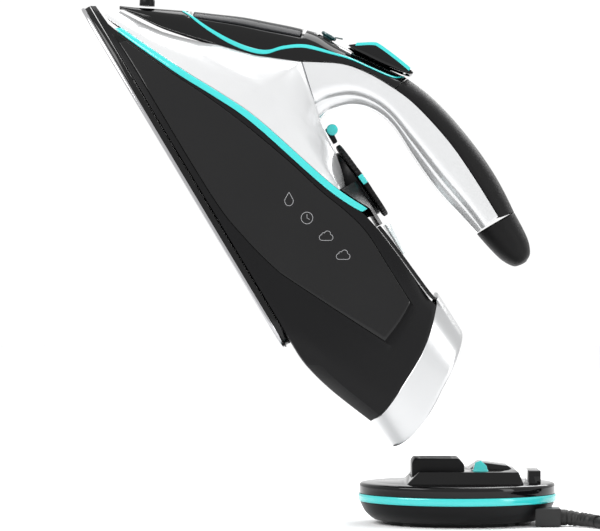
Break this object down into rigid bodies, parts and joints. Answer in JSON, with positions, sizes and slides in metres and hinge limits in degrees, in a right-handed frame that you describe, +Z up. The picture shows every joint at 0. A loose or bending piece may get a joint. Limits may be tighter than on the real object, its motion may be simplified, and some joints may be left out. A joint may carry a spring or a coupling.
{
  "type": "cordless steam iron with docking base",
  "caption": "Cordless steam iron with a free-ended handle, held tilted over the oval docking base that carries the mains lead.",
  "frame": {"origin": "middle of the flat underside of the docking base", "axes": "+Z up from the surface the base stands on, -X towards the tip of the iron, Y across the iron"},
  "size_m": [0.4531, 0.17, 0.318],
  "materials": {
    "black_matte": "satin",
    "black_gloss": "gloss",
    "smoked_clear": "gloss",
    "silver_paint": "gloss",
    "teal_plastic": "gloss",
    "teal_dark": "gloss",
    "sole_steel": "polished",
    "cast_metal": "matte",
    "heater_steel": "satin",
    "brass": "satin",
    "plug_metal": "polished",
    "white_plastic": "satin",
    "shield_board": "matte",
    "rubber_black": "matte",
    "tie_fabric": "matte"
  },
  "bodies": {
    "dock": {"dock_shell": "black_matte", "dock_bottom": "black_matte", "dock_band": "teal_plastic", "dock_cover": "black_gloss", "dock_connector": "black_gloss", "contact_pins": "brass", "terminal_block": "white_plastic", "latch_spring": "heater_steel", "dock_feet": "rubber_black", "strain_relief": "rubber_black", "cord": "rubber_black", "cord_coil": "rubber_black", "coil_tie": "tie_fabric", "plug_body": "rubber_black", "plug_pins": "plug_metal"},
    "iron": {"soleplate": "sole_steel", "steam_chamber": "cast_metal", "heating_element": "heater_steel", "chamber_cover": "cast_metal", "heat_shield": "shield_board", "thermostat": "white_plastic", "thermal_fuse": "white_plastic", "lower_shell": "black_matte", "tank_window_left": "black_gloss", "tank_window_right": "black_gloss", "accent_band_left": "teal_plastic", "accent_band_right": "teal_plastic", "upper_shell": "silver_paint", "handle_frame": "silver_paint", "handle_end": "black_matte", "top_cover": "black_matte", "handle_cover": "black_matte", "trim_line_left": "teal_plastic", "trim_line_right": "teal_plastic", "fill_door_pin": "heater_steel", "fill_funnel": "black_matte", "water_tank": "smoked_clear", "tank_lid": "smoked_clear", "spray_nozzle": "black_matte", "spray_pump": "white_plastic", "spray_spring": "heater_steel", "lever_pin": "heater_steel", "steam_pump": "white_plastic", "steam_spring": "heater_steel", "dial_housing": "black_matte", "rear_lens": "smoked_clear", "rear_deck": "black_matte", "heel_skirt": "silver_paint", "heel_plate": "black_matte", "heel_socket": "black_matte", "control_board": "shield_board"},
    "fill_door": {"fill_door": "smoked_clear"},
    "spray_button": {"spray_button": "teal_dark"},
    "steam_lever": {"steam_lever": "teal_plastic"},
    "steam_selector": {"steam_selector": "teal_plastic"},
    "valve_rod": {"valve_rod": "white_plastic"},
    "dial": {"temperature_dial": "black_matte", "dial_pointer": "teal_plastic", "dial_shaft": "white_plastic"},
    "dock_latch": {"dock_latch": "teal_plastic"}
  },
  "joints": [
    {"name": "iron_tilt", "type": "hinge", "parent": "dock", "child": "iron", "pos_m": [-0.0488, 0, 0.0442], "axis": [0, 1, 0], "range_deg": [0, 59.3]},
    {"name": "fill_door_hinge", "type": "hinge", "parent": "iron", "child": "fill_door", "pos_m": [-0.15949, 0, 0.30553], "axis": [0, -1, 0], "range_deg": [0, 70]},
    {"name": "spray_press", "type": "slide", "parent": "iron", "child": "spray_button", "axis": [-0.515, 0, -0.8572], "range_m": [0, 0.0025], "stiffness_N_per_m": 400},
    {"name": "steam_lever_press", "type": "hinge", "parent": "iron", "child": "steam_lever", "pos_m": [-0.03118, 0, 0.27063], "axis": [0, -1, 0], "range_deg": [0, 3.5], "stiffness_Nm_per_rad": 0.6},
    {"name": "steam_select", "type": "slide", "parent": "iron", "child": "steam_selector", "axis": [0, 1, 0], "range_m": [-0.006, 0.006]},
    {"name": "valve_lift", "type": "slide", "parent": "iron", "child": "valve_rod", "axis": [0.8572, 0, 0.515], "range_m": [-0.0015, 0.0015]},
    {"name": "dial_turn", "type": "hinge", "parent": "iron", "child": "dial", "pos_m": [-0.05839, 0, 0.20446], "axis": [0.8191, 0, 0.5736], "range_deg": [-130, 130]},
    {"name": "latch_press", "type": "slide", "parent": "dock", "child": "dock_latch", "axis": [0, 0, -1], "range_m": [0, 0.003], "stiffness_N_per_m": 400, "deforming": ["latch_spring"]}
  ],
  "couplings": [
    {"joint": "valve_lift", "follows": "steam_select", "ratio": 0.25}
  ]
}
